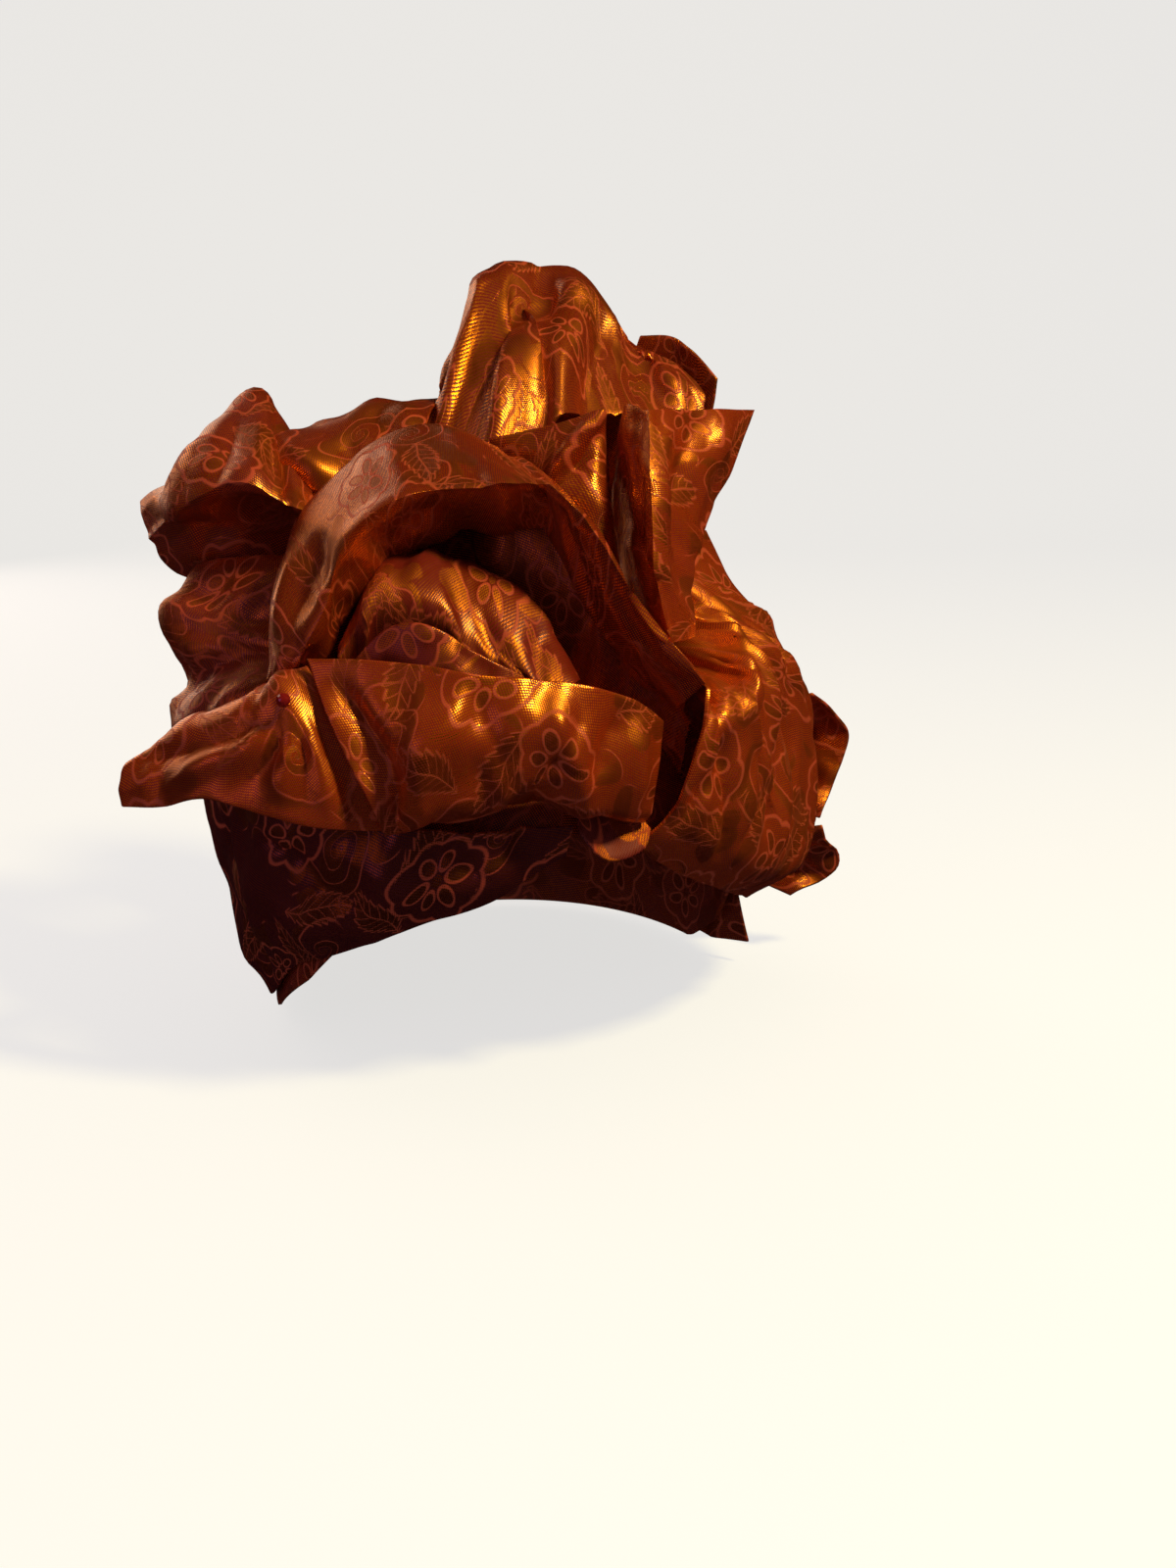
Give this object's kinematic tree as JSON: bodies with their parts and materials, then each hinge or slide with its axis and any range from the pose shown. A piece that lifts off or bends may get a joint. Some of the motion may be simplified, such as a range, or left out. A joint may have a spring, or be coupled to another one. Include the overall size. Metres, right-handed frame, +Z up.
{
  "type": "tied gele head tie",
  "caption": "Tied gele head tie of metallic brocade: a close wrap round the head under a rose of stiff folded petals, held by a dress pin.",
  "frame": {"origin": "middle of the head that the cloth is tied round, level with the cloth's edge over the brow", "axes": "+Z up the head, -Y the way the wearer looks, +X to the right of someone facing the wearer"},
  "size_m": [0.2375, 0.241, 0.2365],
  "materials": {
    "brocade": "metallic jacquard brocade, maroon and bronze with a gold sheen",
    "pin_bead": "glossy dark red bead"
  },
  "bodies": {
    "root": {"under_wrap": "brocade", "back_wrap": "brocade", "back_knot": "brocade", "left_band": "brocade", "right_panel": "brocade", "front_roll": "brocade", "roll_tongue": "brocade", "left_flap": "brocade", "hood": "brocade", "inner_petal": "brocade", "inner_lobe": "brocade", "side_lobe": "brocade", "top_left_petal": "brocade", "rear_mid_fold": "brocade", "peak_petal": "brocade", "peak_flap": "brocade", "fan_fold": "brocade", "right_petal": "brocade", "tail_upper": "brocade", "tail_lower": "brocade", "dress_pin": "pin_bead"}
  },
  "joints": []
}
